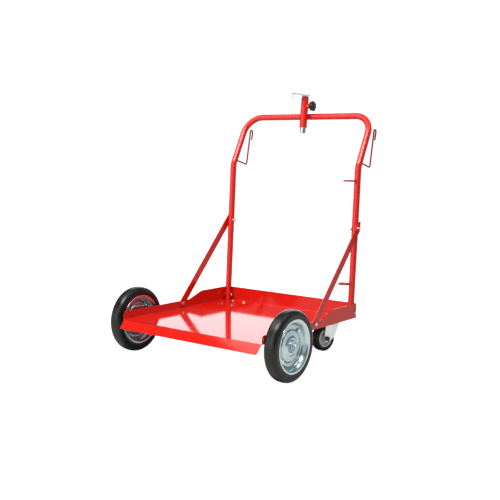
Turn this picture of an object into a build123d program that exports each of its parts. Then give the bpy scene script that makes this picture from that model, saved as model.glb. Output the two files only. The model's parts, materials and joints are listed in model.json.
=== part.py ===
from build123d import *
import os
from math import asin, atan2, cos, degrees, hypot, radians, sin, tan

# Drum cart, in millimetres. Each piece is drawn in the tray's own frame, where the floor's top is z = 0,
# the front fold is y = 0 and x = 0 is the middle. The cart is then leaned back until all its wheels stand.

# Tray, one folded sheet
tray_width = 634.0
tray_depth = 621.0
sheet = 2.0
fold_radius = 2.5
rim_height = 56.0
front_height = 29.0
rise_start = 370.0
rise_end = 447.0
rise_round = 30.0
nose_round = 11.0
lip_reach = 26.0
lip_drop = 30.0
lip_round = 9.0

# Handle, one bent tube
tube_dia = 25.0
tube_wall = 1.5
foot_gap = 1.0
upright_lean = 2.2
bend_height = 578.6
handle_lean = 26.75
handle_height = 776.3
knee_radius = 70.0
corner_radius = 75.0

# Struts, flat bars round at the foot and trimmed along the upright at the top
strut_width = 30.0
strut_thick = 3.0
strut_foot_y = 323.0
strut_foot_rise = 18.5
strut_top_rise = 344.0
strut_tip = 26.5
strut_past = 1.0

# Bolts and nuts of the frame and of the casters
bolt_dia = 8.0
bolt_gap = 0.25
hex_flats = 13.0
head_thick = 5.3
nut_thick = 6.5
bolt_spare = 2.0
upright_bolt_rise = 23.0
spacer_dia = 18.0
weld_gap = 0.05

# Hose hooks, bent wire in the planes of the uprights
hook_wire = 6.5
hook_rise = 18.3
hook_reach = 82.0
hook_dip = 20.0
hook_stem = 147.0
hook_lean = 9.5
eye_width = 17.0
eye_length = 42.0
eye_draw = 9.0
hook_bend = 8.0

# Wire rings on the right upright
ring_wire = 6.0
ring_dia = 44.0
ring_turn = 65.0
lower_ring_rise = 133.0
upper_ring_rise = 526.0
ring_bite = 1.0

# Wire of hooks and rings has this many flats
wire_sides = 8

# Drum clamp on the crossbar
clamp_lean = 5.0
sleeve_dia = 30.0
sleeve_above = 76.7
sleeve_below = 48.3
saddle_bite = 1.0
post_dia = 24.0
post_wall = 3.0
post_gap = 0.5
post_above = 0.8
post_below = 69.3
plate_width = 25.0
plate_thick = 6.0
plate_bend = 7.0
plate_rise = 3.0
plate_back = 15.0
plate_reach = 114.0
plate_drop = 21.0
plate_rake = 1.0
stub_dia = 23.0
boss_flats = 17.0
boss_reach = 26.0
screw_dia = 10.0
screw_rise = 39.2
screw_gap = 0.1
tip_gap = 0.3
knob_start = 31.0
knob_thick = 15.0
knob_dia = 40.0
knob_lobes = 7
scallop_dia = 14.0
scallop_depth = 4.5
knob_skin = 4.0
neck_dia = 18.0
neck_length = 3.0
screw_pitch = 1.5
screw_turns = 3
post_travel = 90.0

# Front wheels on their fixed axle
wheel_dia = 247.0
wheel_outset = 35.6
wheel_y = 104.4
axle_drop = 17.0
axle_dia = 20.0
axle_gap = 0.05
tyre_half = 24.2
tread_half = 8.0
flank_half = 22.6
flank_drop = 10.0
belly_drop = 20.0
bead_gap = 0.3
bead_rise = 1.0
press_sheet = 2.4
web_offset = 1.25
web_inner = 55.0
web_outer = 75.0
dome_depth = 11.0
dome_radius = 28.0
wall_top = 85.0
wall_depth = 23.0
lip_radius = 94.0
lip_depth = 24.5
rim_bolt_radius = 64.5
rim_bolts_each = 4
rim_bolt_turn = 45.0
hub_dia = 43.0
hub_half = 23.0
hub_gap = 0.1
bearing_dia = 30.0
side_gap = 0.3
washer_dia = 32.0
washer_thick = 3.0
collar_dia = 30.0
cap_dia = 24.0
cap_length = 6.0
cap_dome = 2.0
cap_skin = 1.5
bracket_inset = 32.0
bracket_width = 40.0
bracket_length = 64.0
bracket_wall = 4.0
bracket_cheek = 14.5

# Swivel casters
caster_inset = 79.0
caster_ahead = 61.0
caster_turn = -13.0
caster_height = 123.0
caster_trail = 38.0
plate_length = 105.0
plate_breadth = 85.0
top_thick = 3.0
top_round = 8.0
hole_pitch_x = 60.0
hole_pitch_y = 80.0
race_dia = 60.0
race_bore = 46.0
dish_drop = 6.0
race_gap = 0.3
race_rise = 5.0
crown_thick = 4.0
crown_front = 46.0
kingpin_dia = 12.0
kingpin_gap = 0.1
kingpin_head = 20.0
kingpin_head_thick = 4.0
fork_gap = 39.0
fork_wall = 3.0
leg_round = 13.0
heel_round = 6.0
heel_back = 33.0
heel_rise = 3.0
caster_dia = 100.0
caster_half = 17.4
caster_tread = 8.0
caster_flank_drop = 8.0
core_dia = 68.0
core_gap = 0.1
core_half = 14.5
core_ring = 5.0
core_web = 6.0
core_hub_dia = 24.0
core_hub_half = 18.9
caster_bolt_dia = 10.0
caster_hex_flats = 17.0
caster_head_thick = 6.4
caster_nut_thick = 8.0

# Sizes that follow from those above
tube_radius = tube_dia / 2
flange_in = tray_width / 2 - sheet
flange_out = tray_width / 2
upright_x = flange_in - strut_thick - tube_radius
strut_x = flange_in - strut_thick
tube_face = upright_x - tube_radius
lean_slope = tan(radians(upright_lean))
foot_y = tray_depth - foot_gap - tube_radius / cos(radians(upright_lean)) - rim_height * lean_slope
knee_y = foot_y + bend_height * lean_slope
handle_slope = tan(radians(handle_lean))
handle_y = knee_y + (handle_height - bend_height) * handle_slope
upright_bolt_y = foot_y + upright_bolt_rise * lean_slope
strut_top_y = foot_y + strut_top_rise * lean_slope
wheel_radius = wheel_dia / 2
wheel_x = flange_out + wheel_outset
bracket_mid = flange_out - bracket_inset
caster_x = flange_out - caster_inset
caster_y = tray_depth - caster_ahead
web_face = web_offset + press_sheet / 2
plate_under = -sheet - top_thick
caster_radius = caster_dia / 2
caster_axle_z = caster_radius - caster_height
dish_z = -top_thick - dish_drop
crown_top = dish_z - race_gap - race_rise
crown_under = crown_top - crown_thick
clamp_offset = tube_radius + sleeve_dia / 2 - saddle_bite

# The lean at which the front wheels and the casters all touch the ground
turn_ahead = caster_trail * cos(radians(caster_turn))
reach_back = caster_y - turn_ahead - wheel_y
rise_front = sheet + caster_height - caster_radius - axle_drop
radius_step = wheel_radius - caster_radius
cart_lean = asin(radius_step / hypot(reach_back, rise_front)) - atan2(rise_front, reach_back)

# The clamp's frame: its z runs up the sleeve, its origin lies level with the crossbar
clamp_tilt = radians(clamp_lean)
clamp_y = handle_y - clamp_offset * cos(clamp_tilt)
clamp_z = handle_height + clamp_offset * sin(clamp_tilt)
clamp = Plane((0, clamp_y, clamp_z), x_dir=(1, 0, 0), z_dir=(0, sin(clamp_tilt), cos(clamp_tilt)))
screw_line = clamp * Pos(0, 0, screw_rise) * Rot(Y=90)

# Lines across the cart, with z to the right: its bolts, the crossbar and the front axle
strut_foot_line = Pos(0, strut_foot_y, strut_foot_rise) * Rot(Y=90)
strut_top_line = Pos(0, strut_top_y, strut_top_rise) * Rot(Y=90)
upright_bolt_line = Pos(0, upright_bolt_y, upright_bolt_rise) * Rot(Y=90)
crossbar_line = Pos(0, handle_y, handle_height) * Rot(Y=90)
axle_line = Pos(0, wheel_y, -axle_drop) * Rot(Y=90)

# Each caster's axle in its own frame, whose z is the swivel axis
caster_axle = Pos(0, -caster_trail, caster_axle_z) * Rot(Y=90)


def leftward(piece):
    return mirror(piece, about=Plane.YZ)


def both_sides(piece):
    return Compound([*piece.solids(), *leftward(piece).solids()])


def spun(*points):
    return revolve(make_face(Polyline(*points, close=True)), axis=Axis.X)


def spun_both(side):
    ends = [Line(end, (-end.X, end.Y)) for end in (side @ 0, side @ 1)]
    return revolve(make_face([side, mirror(side, about=Plane.YZ), *ends]), axis=Axis.X)


def run_from(line, start, radius, length):
    return line * Pos(0, 0, start + length / 2) * Cylinder(radius, length)


def tube_from(line, start, radius, bore, length):
    return run_from(line, start, radius, length) - run_from(line, start, bore, length)


def hex_from(line, start, flats, length):
    return line * Pos(0, 0, start) * extrude(RegularPolygon(flats / 2, 6, major_radius=False), length)


def hex_bolt(line, under_head, nut_face):
    end = nut_face - nut_thick - bolt_spare
    shank = run_from(line, end, bolt_dia / 2, under_head - end)
    return shank + hex_from(line, under_head, hex_flats, head_thick)


def hex_nut(line, nut_face):
    start = nut_face - nut_thick
    nut = hex_from(line, start, hex_flats, nut_thick)
    return nut - run_from(line, start, bolt_dia / 2 + weld_gap, nut_thick)


# Tray
def pan(inset):
    width = tray_width - 2 * inset
    length = tray_depth + sheet - inset
    tall = rim_height + sheet - inset
    body = Pos(0, length / 2, rim_height - tall / 2) * Box(width, length, tall)
    folds = body.faces().sort_by(Axis.Z)[0].edges().sort_by(Axis.Y)[1:]
    corners = body.edges().filter_by(Axis.Z).group_by(Axis.Y)[-1]
    return fillet([*folds, *corners], fold_radius + sheet - inset)


def side_outline():
    back = tray_depth + sheet
    front = (0, -sheet)
    last = (back, rim_height)
    rounds = [nose_round, rise_round, rise_round]
    low = (0, front_height)
    ramp = [(rise_start, front_height), (rise_end, rim_height)]
    skyline = FilletPolyline(front, low, *ramp, last, radius=rounds)
    return make_face(skyline + Polyline(last, (back, -sheet), front))


def tray():
    shell = pan(0) - pan(sheet)
    shell = shell & extrude(Plane.YZ * side_outline(), tray_width / 2, both=True)
    lip_width = tray_width - 2 * (fold_radius + sheet)
    middle = -sheet / 2
    root = 2 * (fold_radius + sheet)
    edge = (-lip_reach, middle - lip_drop)
    bend = FilletPolyline((root, middle), (0, middle), edge, radius=fold_radius + sheet / 2)
    lip = extrude(Plane.YZ * trace(bend, sheet), lip_width / 2, both=True)
    ends = lip.faces().sort_by(Axis.Z)[0].edges().sort_by(SortBy.LENGTH)[:2]
    lip = fillet(ends, lip_round)
    shell = shell - Pos(0, root / 2, middle) * Box(lip_width, root, sheet) + lip
    hole = bolt_dia / 2 + bolt_gap
    for line in (strut_foot_line, upright_bolt_line):
        shell = shell - line * Cylinder(hole, 2 * tray_width)
    for spot in caster_spots():
        shell = shell - spot * Cylinder(hole, rim_height)
    return shell


# Handle
def handle_path():
    under = -tube_dia
    corners = []
    for side in (-1, 1):
        x = side * upright_x
        foot = (x, foot_y + under * lean_slope, under)
        leg = [foot, (x, knee_y, bend_height), (x, handle_y, handle_height)]
        corners += leg[::-side]
    return FilletPolyline(*corners[::-1], radius=[knee_radius, corner_radius, corner_radius, knee_radius])


def handle_frame():
    path = handle_path()
    start = Plane(path @ 0, z_dir=path % 0)
    section = Circle(tube_radius) - Circle(tube_radius - tube_wall)
    tube = sweep(start * section, path=path)
    tube = tube - Pos(0, foot_y, -tube_dia) * Box(tray_width, tray_depth, 2 * tube_dia)
    hole = bolt_dia / 2 + bolt_gap
    for line in (upright_bolt_line, strut_top_line):
        tube = tube - line * Cylinder(hole, 2 * tray_width)
    return tube


def upright_rod(radius):
    up = Plane((upright_x, foot_y, 0), z_dir=(0, lean_slope, 1))
    return up * Cylinder(radius, 2 * bend_height)


# Struts
def right_strut():
    back = strut_top_y - strut_foot_y
    up = strut_top_rise - strut_foot_rise
    middle = ((strut_top_y + strut_foot_y) / 2, (strut_top_rise + strut_foot_rise) / 2)
    face = Plane((strut_x, *middle), x_dir=(0, back, up), z_dir=(1, 0, 0))
    run = hypot(back, up)
    bar = SlotCenterToCenter(run, strut_width) + Pos(run / 2) * Rectangle(2 * strut_width, strut_width)
    holes = GridLocations(run, 0, 2, 1) * Circle(bolt_dia / 2 + bolt_gap)
    bar = extrude(face * (bar - holes), strut_thick)
    rear = Plane((strut_x, foot_y, 0), x_dir=(1, 0, 0), z_dir=(0, lean_slope, 1))
    kept = Pos(0, tube_radius + strut_past - bend_height / 2) * Box(bend_height, bend_height, 2 * bend_height)
    tall = 2 * bend_height
    level = Pos(0, 0, strut_top_rise + strut_tip - bend_height) * Box(tall, 2 * tall, tall)
    return bar & rear * kept & level


# Spacers and nuts of the frame, drawn on the right and mirrored
def upright_spacer():
    reach = flange_in - upright_x
    ring = tube_from(upright_bolt_line, upright_x, spacer_dia / 2, bolt_dia / 2 + bolt_gap, reach)
    return ring - upright_rod(tube_radius + weld_gap)


def frame_nuts():
    nuts = [hex_nut(line, tube_face) for line in (upright_bolt_line, strut_top_line)]
    nuts.append(hex_nut(strut_foot_line, strut_x))
    return both_sides(Compound(nuts))


# Places of the caster bolts on the tray's floor
def caster_spots():
    grid = GridLocations(hole_pitch_x, hole_pitch_y, 2, 2)
    return [Pos(side * caster_x, caster_y) * spot for side in (-1, 1) for spot in grid]


# Hose hooks and rings
def right_hose_hook():
    weld_z = bend_height + hook_rise
    weld_y = knee_y + hook_rise * handle_slope
    heel = (weld_y + hook_reach, weld_z - hook_dip)
    top_y = heel[0] + hook_stem * tan(radians(hook_lean))
    top_z = heel[1] + hook_stem
    far_y = top_y + eye_width
    tip = (far_y - eye_draw, top_z - eye_length)
    path = FilletPolyline((weld_y, weld_z), heel, (top_y, top_z), (far_y, top_z), tip, radius=hook_bend)
    path = Plane((upright_x, 0, 0), x_dir=(0, 1, 0), z_dir=(1, 0, 0)) * path
    start = Plane(path @ 0, x_dir=(1, 0, 0), z_dir=path % 0)
    wire = sweep(start * RegularPolygon(hook_wire / 2, wire_sides, rotation=180 / wire_sides), path=path)
    leg = Plane((upright_x, knee_y, bend_height), z_dir=(0, handle_slope, 1))
    return wire - leg * Cylinder(tube_radius + weld_gap, bend_height)


def hose_ring(rise):
    turn = radians(ring_turn)
    away = tube_radius + ring_dia / 2 + ring_wire / 2 - ring_bite
    y = foot_y + rise * lean_slope - away * sin(turn)
    section = Pos(ring_dia / 2, 0) * RegularPolygon(ring_wire / 2, wire_sides, rotation=180 / wire_sides)
    ring = revolve(Plane.XZ * section, axis=Axis.Z)
    return Pos(upright_x - away * cos(turn), y, rise) * ring - upright_rod(tube_radius + weld_gap)


# Drum clamp
def clamp_sleeve():
    bore = post_dia / 2 + post_gap
    sleeve = tube_from(clamp, -sleeve_below, sleeve_dia / 2, bore, sleeve_above + sleeve_below)
    sleeve = sleeve - crossbar_line * Cylinder(tube_radius + weld_gap, tray_width)
    return sleeve - run_from(screw_line, 0, screw_dia / 2 + screw_gap, sleeve_dia)


def clamp_boss():
    boss = hex_from(screw_line, 0, boss_flats, boss_reach)
    boss = boss - run_from(screw_line, 0, screw_dia / 2 + screw_gap, boss_reach)
    return boss - clamp * Pos(0, 0, screw_rise) * Cylinder(sleeve_dia / 2 + weld_gap, 2 * sleeve_dia)


def clamp_post():
    length = post_below + sleeve_above + post_above
    return tube_from(clamp, -post_below, post_dia / 2, post_dia / 2 - post_wall, length)


def hook_plate():
    foot = clamp * Pos(0, 0, sleeve_above + plate_rise)
    under_y = foot.position.Y
    under_z = foot.position.Z
    half = plate_thick / 2
    back = (plate_back, half)
    front = (-plate_reach, half)
    tip = (-plate_reach - plate_rake, -plate_drop)
    arm = trace(FilletPolyline(back, front, tip, radius=plate_bend), plate_thick)
    plate = Pos(0, under_y, under_z) * extrude(Plane.YZ * arm, plate_width / 2, both=True)
    stub_start = sleeve_above + post_above
    stub = run_from(clamp, stub_start, stub_dia / 2, plate_rise + plate_thick - post_above)
    above = Pos(0, under_y, under_z + stub_dia + half) * Box(2 * stub_dia, 2 * stub_dia, 2 * stub_dia)
    return plate + (stub - above)


def clamp_screw():
    tip = post_dia / 2 + tip_gap
    return run_from(screw_line, tip, screw_dia / 2, knob_start + knob_thick - knob_skin - tip)


def star_knob():
    outline = Circle(knob_dia / 2)
    ring = PolarLocations((knob_dia + scallop_dia) / 2 - scallop_depth, knob_lobes)
    outline -= ring * Circle(scallop_dia / 2)
    knob = screw_line * Pos(0, 0, knob_start) * extrude(outline, knob_thick)
    knob += run_from(screw_line, knob_start - neck_length, neck_dia / 2, neck_length)
    bore = knob_thick + neck_length - knob_skin + screw_gap
    return knob - run_from(screw_line, knob_start - neck_length, screw_dia / 2 + axle_gap, bore)


# Front wheels, drawn about the x axis with the wheel's middle at x = 0 and its outer side at +x
def on_axle(piece):
    return Pos(wheel_x, wheel_y, -axle_drop) * piece


def front_tyre():
    inside = press_sheet / 2 + bead_gap
    base = (web_offset, web_outer + press_sheet)
    bead = (wall_depth - inside, wall_top + bead_rise)
    seat = (lip_depth - inside, lip_radius)
    belly = (tyre_half, wheel_radius - belly_drop)
    flank = (flank_half, wheel_radius - flank_drop)
    wall = Polyline(base, bead, seat) + ThreePointArc(seat, belly, flank)
    return spun_both(wall + TangentArc((tread_half, wheel_radius), flank, tangent=(1, 0)))


def rim_spots():
    ring = PolarLocations(rim_bolt_radius, rim_bolts_each, start_angle=rim_bolt_turn)
    return [Rot(Y=90) * spot for spot in ring]


def rim_half():
    dome = [(dome_depth, hub_dia / 2 - press_sheet), (dome_depth, dome_radius)]
    web = [(web_offset, web_inner), (web_offset, web_outer)]
    line = Polyline(*dome, *web, (wall_depth, wall_top), (lip_depth, lip_radius))
    half = revolve(trace(line, press_sheet), axis=Axis.X)
    for spot in rim_spots():
        half = half - spot * Cylinder(bolt_dia / 2 + bolt_gap, 2 * web_outer)
    return half - Rot(Y=90) * Cylinder(hub_dia / 2 + hub_gap, wheel_dia)


def hub():
    return tube_from(Rot(Y=90), -hub_half, hub_dia / 2, bearing_dia / 2 + hub_gap, 2 * hub_half)


def bearing():
    return tube_from(Rot(Y=90), -hub_half, bearing_dia / 2, axle_dia / 2 + axle_gap, 2 * hub_half)


# Axle and what holds it
def axle_bracket():
    cheek = Pos(wheel_y, -axle_drop) * Circle(bracket_cheek)
    root = Pos(wheel_y, -sheet - bracket_wall / 2) * Rectangle(bracket_length, bracket_wall)
    outline = Plane.YZ * make_hull([*cheek.edges(), *root.edges()])
    body = Pos(bracket_mid) * extrude(outline, bracket_width / 2, both=True)
    gap = bracket_width - 2 * bracket_wall
    under = -sheet - bracket_wall
    channel = Box(gap, 2 * bracket_length, bracket_length)
    body = body - Pos(bracket_mid, wheel_y, under - bracket_length / 2) * channel
    return body - axle_line * Cylinder(axle_dia / 2 + weld_gap, tray_width)


hub_in = wheel_x - hub_half - side_gap
hub_out = wheel_x + hub_half + side_gap
bracket_face = bracket_mid + bracket_width / 2
axle_end = hub_out + washer_thick + cap_length - cap_skin


def axle_collars():
    bore = axle_dia / 2 + weld_gap
    length = hub_in - washer_thick - bracket_face
    return both_sides(tube_from(axle_line, bracket_face, collar_dia / 2, bore, length))


def axle_washers():
    bore = axle_dia / 2 + weld_gap
    inner = tube_from(axle_line, hub_in - washer_thick, washer_dia / 2, bore, washer_thick)
    outer = tube_from(axle_line, hub_out, washer_dia / 2, bore, washer_thick)
    return both_sides(Compound([inner, outer]))


def axle_caps():
    edge = cap_dia / 2
    crown = edge - cap_dome
    side = cap_length - cap_dome
    bore = axle_dia / 2 + weld_gap
    deep = cap_length - cap_skin
    skin = [(0, bore), (0, edge), (side, edge), (cap_length, crown), (cap_length, 0)]
    cap = spun(*skin, (deep, 0), (deep, bore))
    return both_sides(Pos(hub_out + washer_thick, wheel_y, -axle_drop) * cap)


# Casters, each drawn about its swivel axis with z = 0 on the plate's top
def caster_plate():
    plate = extrude(RectangleRounded(plate_breadth, plate_length, top_round), -top_thick)
    hole = Cylinder(bolt_dia / 2 + bolt_gap, rim_height)
    plate = plate - GridLocations(hole_pitch_x, hole_pitch_y, 2, 2) * hole
    plate = plate + run_from(Location(), dish_z, race_dia / 2, dish_drop)
    return plate - Cylinder(kingpin_dia / 2 + weld_gap, rim_height)


def kingpin():
    head_top = crown_under - race_gap
    pin = run_from(Location(), head_top, kingpin_dia / 2, -head_top)
    return pin + run_from(Location(), head_top - kingpin_head_thick, kingpin_head / 2, kingpin_head_thick)


def caster_fork():
    width = fork_gap + 2 * fork_wall
    crown_mid = (race_dia / 2 - crown_front) / 2
    crown_long = race_dia / 2 + crown_front
    top = Pos(crown_mid, crown_top - crown_thick / 2) * Rectangle(crown_long, crown_thick)
    toe = Pos(-caster_trail, caster_axle_z) * Circle(leg_round)
    heel = Pos(heel_back - caster_trail, caster_axle_z + heel_rise) * Circle(heel_round)
    outline = make_hull([*top.edges(), *toe.edges(), *heel.edges()])
    fork = extrude(Plane.YZ * outline, width / 2, both=True)
    fork = fork - Pos(0, 0, crown_under - caster_height / 2) * Box(fork_gap, 2 * caster_height, caster_height)
    fork = fork + run_from(Location(), crown_under, race_dia / 2, crown_thick)
    fork = fork + tube_from(Location(), crown_top, race_dia / 2, race_bore / 2, race_rise)
    fork = fork - Cylinder(kingpin_dia / 2 + kingpin_gap, caster_height)
    return fork - caster_axle * Cylinder(caster_bolt_dia / 2 + weld_gap, 2 * width)


def caster_bolt():
    face = fork_gap / 2 + fork_wall
    end = -face - caster_nut_thick - bolt_spare
    shank = run_from(caster_axle, end, caster_bolt_dia / 2, face - end)
    return shank + hex_from(caster_axle, face, caster_hex_flats, caster_head_thick)


def caster_axle_nut():
    start = -fork_gap / 2 - fork_wall - caster_nut_thick
    nut = hex_from(caster_axle, start, caster_hex_flats, caster_nut_thick)
    return nut - run_from(caster_axle, start, caster_bolt_dia / 2 + weld_gap, caster_nut_thick)


def on_fork(piece):
    return Pos(0, -caster_trail, caster_axle_z) * piece


def caster_tyre():
    flank = (caster_half, caster_radius - caster_flank_drop)
    wall = Line((core_half, core_dia / 2 + core_gap), flank)
    return on_fork(spun_both(wall + TangentArc((caster_tread, caster_radius), flank, tangent=(1, 0))))


def caster_core():
    rim = core_dia / 2
    hub_end = [(core_hub_half, caster_bolt_dia / 2 + screw_gap), (core_hub_half, core_hub_dia / 2)]
    web = [(core_web, core_hub_dia / 2), (core_web, rim - core_ring)]
    return on_fork(spun_both(Polyline(*hub_end, *web, (core_half, rim - core_ring), (core_half, rim))))


# All pieces by name
pieces = {
    "tray": tray(),
    "handle_frame": handle_frame(),
    "right_strut": right_strut(),
    "right_hose_hook": right_hose_hook(),
    "lower_ring": hose_ring(lower_ring_rise),
    "upper_ring": hose_ring(upper_ring_rise),
    "clamp_sleeve": clamp_sleeve(),
    "clamp_boss": clamp_boss(),
    "clamp_post": clamp_post(),
    "hook_plate": hook_plate(),
    "clamp_screw": clamp_screw(),
    "star_knob": star_knob(),
    "front_axle": axle_line * Cylinder(axle_dia / 2, 2 * axle_end),
    "right_axle_bracket": axle_bracket(),
    "axle_collars": axle_collars(),
    "axle_washers": axle_washers(),
    "axle_caps": axle_caps(),
    "upright_spacers": both_sides(upright_spacer()),
    "frame_nuts": frame_nuts(),
    "upright_bolts": both_sides(hex_bolt(upright_bolt_line, flange_out, tube_face)),
    "strut_top_bolts": both_sides(hex_bolt(strut_top_line, flange_in, tube_face)),
    "strut_foot_bolts": both_sides(hex_bolt(strut_foot_line, flange_out, strut_x)),
    "caster_bolts": Compound([hex_bolt(spot, 0, plate_under) for spot in caster_spots()]),
    "caster_nuts": Compound([hex_nut(spot, plate_under) for spot in caster_spots()]),
    "right_tyre": on_axle(front_tyre()),
    "right_rim_outer": on_axle(rim_half()),
    "right_rim_inner": on_axle(leftward(rim_half())),
    "right_rim_bolts": on_axle(Compound([hex_bolt(spot, web_face, -web_face) for spot in rim_spots()])),
    "right_rim_nuts": on_axle(Compound([hex_nut(spot, -web_face) for spot in rim_spots()])),
    "right_hub": on_axle(hub()),
    "right_bearing": on_axle(bearing()),
}

for name in [n for n in pieces if n.startswith("right_")]:
    pieces[name.replace("right_", "left_")] = leftward(pieces[name])

for label, side in (("left", -1), ("right", 1)):
    mount = Pos(side * caster_x, caster_y, -sheet)
    spot = mount * Rot(Z=caster_turn)
    pieces[label + "_caster_plate"] = mount * caster_plate()
    pieces[label + "_kingpin"] = mount * kingpin()
    pieces[label + "_fork"] = spot * caster_fork()
    pieces[label + "_caster_bolt"] = spot * caster_bolt()
    pieces[label + "_caster_nut"] = spot * caster_axle_nut()
    pieces[label + "_caster_tyre"] = spot * caster_tyre()
    pieces[label + "_caster_core"] = spot * caster_core()

# Lean the cart back on its wheels, with the origin under the middle of its box
lean = Rot(X=-degrees(cart_lean))
box = Compound([solid for piece in pieces.values() for solid in (lean * piece).solids()]).bounding_box()
stand = Pos(-box.center().X, -box.center().Y, -box.min.Z) * lean

os.makedirs("parts", exist_ok=True)
for name, piece in pieces.items():
    export_step(Compound((stand * piece).solids()), f"parts/{name}.step")
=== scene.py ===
import json
from math import acos, atan2, cos, pi, radians, sin, sqrt, tan

import bmesh
import bpy
from mathutils import Matrix, Vector


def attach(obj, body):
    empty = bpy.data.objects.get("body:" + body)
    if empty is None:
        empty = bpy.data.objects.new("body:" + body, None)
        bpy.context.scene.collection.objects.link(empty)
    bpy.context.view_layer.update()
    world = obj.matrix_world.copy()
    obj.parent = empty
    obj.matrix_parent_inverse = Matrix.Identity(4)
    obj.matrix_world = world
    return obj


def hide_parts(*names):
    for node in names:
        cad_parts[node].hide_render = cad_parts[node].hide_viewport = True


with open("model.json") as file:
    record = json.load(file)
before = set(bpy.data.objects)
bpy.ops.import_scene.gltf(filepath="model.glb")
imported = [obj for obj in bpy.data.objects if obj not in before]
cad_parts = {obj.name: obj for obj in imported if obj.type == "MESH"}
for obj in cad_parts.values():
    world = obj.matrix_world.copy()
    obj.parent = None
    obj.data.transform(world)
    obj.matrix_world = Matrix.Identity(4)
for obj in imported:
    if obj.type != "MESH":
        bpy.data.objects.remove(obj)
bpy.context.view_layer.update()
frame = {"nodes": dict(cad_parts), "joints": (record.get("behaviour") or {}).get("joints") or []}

# Tray: one steel sheet of 2 mm, folded up at the sides and the back and bent down at the front to a lip.
# Its front corners are cut round, its sides step up towards the back, and all of it is powder coated red.
# Meshes are drawn in millimetres in the tray's own frame: its floor is z = 0, its front fold is y = 0.
tray_width = 634.0
tray_depth = 621.0
sheet = 2.0
fold_radius = 3.5
rim_height = 56.0
front_height = 29.0
rise_start = 370.0
rise_end = 447.0
rise_round = 30.0
nose_round = 11.0
lip_reach = 26.0
lip_drop = 30.0
lip_round = 9.0
edge_round = 0.4
bend_steps = 6
merge_gap = 0.001
crease_angle = radians(25)
ease_angle = radians(50)
caster_x = 238.0
caster_y = 560.0

swivel = next(joint for joint in frame["joints"] if joint["name"] == "right_caster_swivel")
cart_lean = atan2(swivel["axis"][1], swivel["axis"][2])
lean_back = Matrix.Rotation(-cart_lean, 4, "X") @ Matrix.Scale(0.001, 4)
shift = Vector(swivel["pos_m"]) - lean_back @ Vector((caster_x, caster_y, -sheet))
stand = Matrix.Translation(shift) @ lean_back
mirror = Matrix.Scale(-1, 4, (1, 0, 0))
side_ways = {"left": mirror, "right": Matrix.Identity(4)}


def linear(code):
    """An sRGB colour code as linear red, green, blue and alpha."""
    parts = [int(code[i : i + 2], 16) / 255 for i in (1, 3, 5)]
    return (*[c / 12.92 if c <= 0.04045 else ((c + 0.055) / 1.055) ** 2.4 for c in parts], 1.0)


def add(tree, kind, inputs=None, **settings):
    """A new node in a tree, with its settings, and with its inputs set or linked."""
    made = tree.nodes.new(kind)
    for name, value in settings.items():
        setattr(made, name, value)
    for socket, value in (inputs or {}).items():
        if isinstance(value, bpy.types.NodeSocket):
            tree.links.new(value, made.inputs[socket])
        else:
            made.inputs[socket].default_value = value
    return made


def new_finish(name):
    """An empty material with its tree of nodes and a socket that gives the piece's own coordinates."""
    made = bpy.data.materials.new(name)
    made.use_nodes = True
    tree = made.node_tree
    tree.nodes.clear()
    return made, tree, add(tree, "ShaderNodeTexCoord").outputs["Object"]


def surface(tree, sockets):
    """Ends a material's tree with its shader, whose sockets are set or linked."""
    shader = add(tree, "ShaderNodeBsdfPrincipled", sockets)
    add(tree, "ShaderNodeOutputMaterial", {"Surface": shader.outputs[0]})


# Baked polyester powder on steel: a glossy skin with a fine orange peel, over sheet that is barely wavy.
# The eye gets clear reflections, softened at the edges, and a red that is a touch thinner in places.
# Tube takes the powder less evenly than sheet, so it is duller.
def powder_coat(name, body_colour, thin_colour, low, high):
    cloud_mm, wave_mm, peel_mm = 90.0, 160.0, 3.0
    wave_deep_mm, peel_deep_mm = 0.03, 0.01
    made, tree, place = new_finish(name)
    cloud = {"Vector": place, "Scale": 1000 / cloud_mm, "Detail": 2.0}
    cloud = add(tree, "ShaderNodeTexNoise", cloud).outputs[0]
    tone = {0: cloud, 6: linear(body_colour), 7: linear(thin_colour)}
    tone = add(tree, "ShaderNodeMix", tone, data_type="RGBA").outputs[2]
    gloss = add(tree, "ShaderNodeMapRange", {0: cloud, 3: low, 4: high}).outputs[0]
    wave = {"Vector": place, "Scale": 1000 / wave_mm, "Detail": 0.0}
    wave = add(tree, "ShaderNodeTexNoise", wave).outputs[0]
    broad = {"Height": wave, "Strength": 1.0, "Distance": wave_deep_mm / 1000}
    broad = add(tree, "ShaderNodeBump", broad).outputs[0]
    peel = {"Vector": place, "Scale": 1000 / peel_mm, "Detail": 1.0}
    peel = add(tree, "ShaderNodeTexNoise", peel).outputs[0]
    fine = {"Height": peel, "Strength": 0.1, "Distance": peel_deep_mm / 1000, "Normal": broad}
    fine = add(tree, "ShaderNodeBump", fine).outputs[0]
    surface(tree, {"Base Color": tone, "Roughness": gloss, "Normal": fine, "IOR": 1.5})
    return made


red_coat = powder_coat("red_powder_coat", "#CB1A10", "#D01C11", 0.07, 0.10)
tube_coat = powder_coat("red_tube_coat", "#CB1810", "#D01B11", 0.18, 0.24)


def rounded(points, radii, steps=bend_steps, closed=False):
    """A line through these points, in which each corner is turned by an arc of its radius."""
    points = [Vector(p) for p in points]
    ring = [points[-1], *points, points[0]] if closed else points
    line = []
    for before, corner, after, radius in zip(ring, ring[1:], ring[2:], radii):
        back, ahead = (before - corner).normalized(), (after - corner).normalized()
        half = back.angle(ahead) / 2
        centre = corner + (back + ahead).normalized() * radius / sin(half)
        start = corner + back * radius / tan(half) - centre
        end = corner + ahead * radius / tan(half) - centre
        line += [centre + start.slerp(end, step / steps).normalized() * radius for step in range(steps + 1)]
    return line if closed else [points[0], *line, points[-1]]


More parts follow.
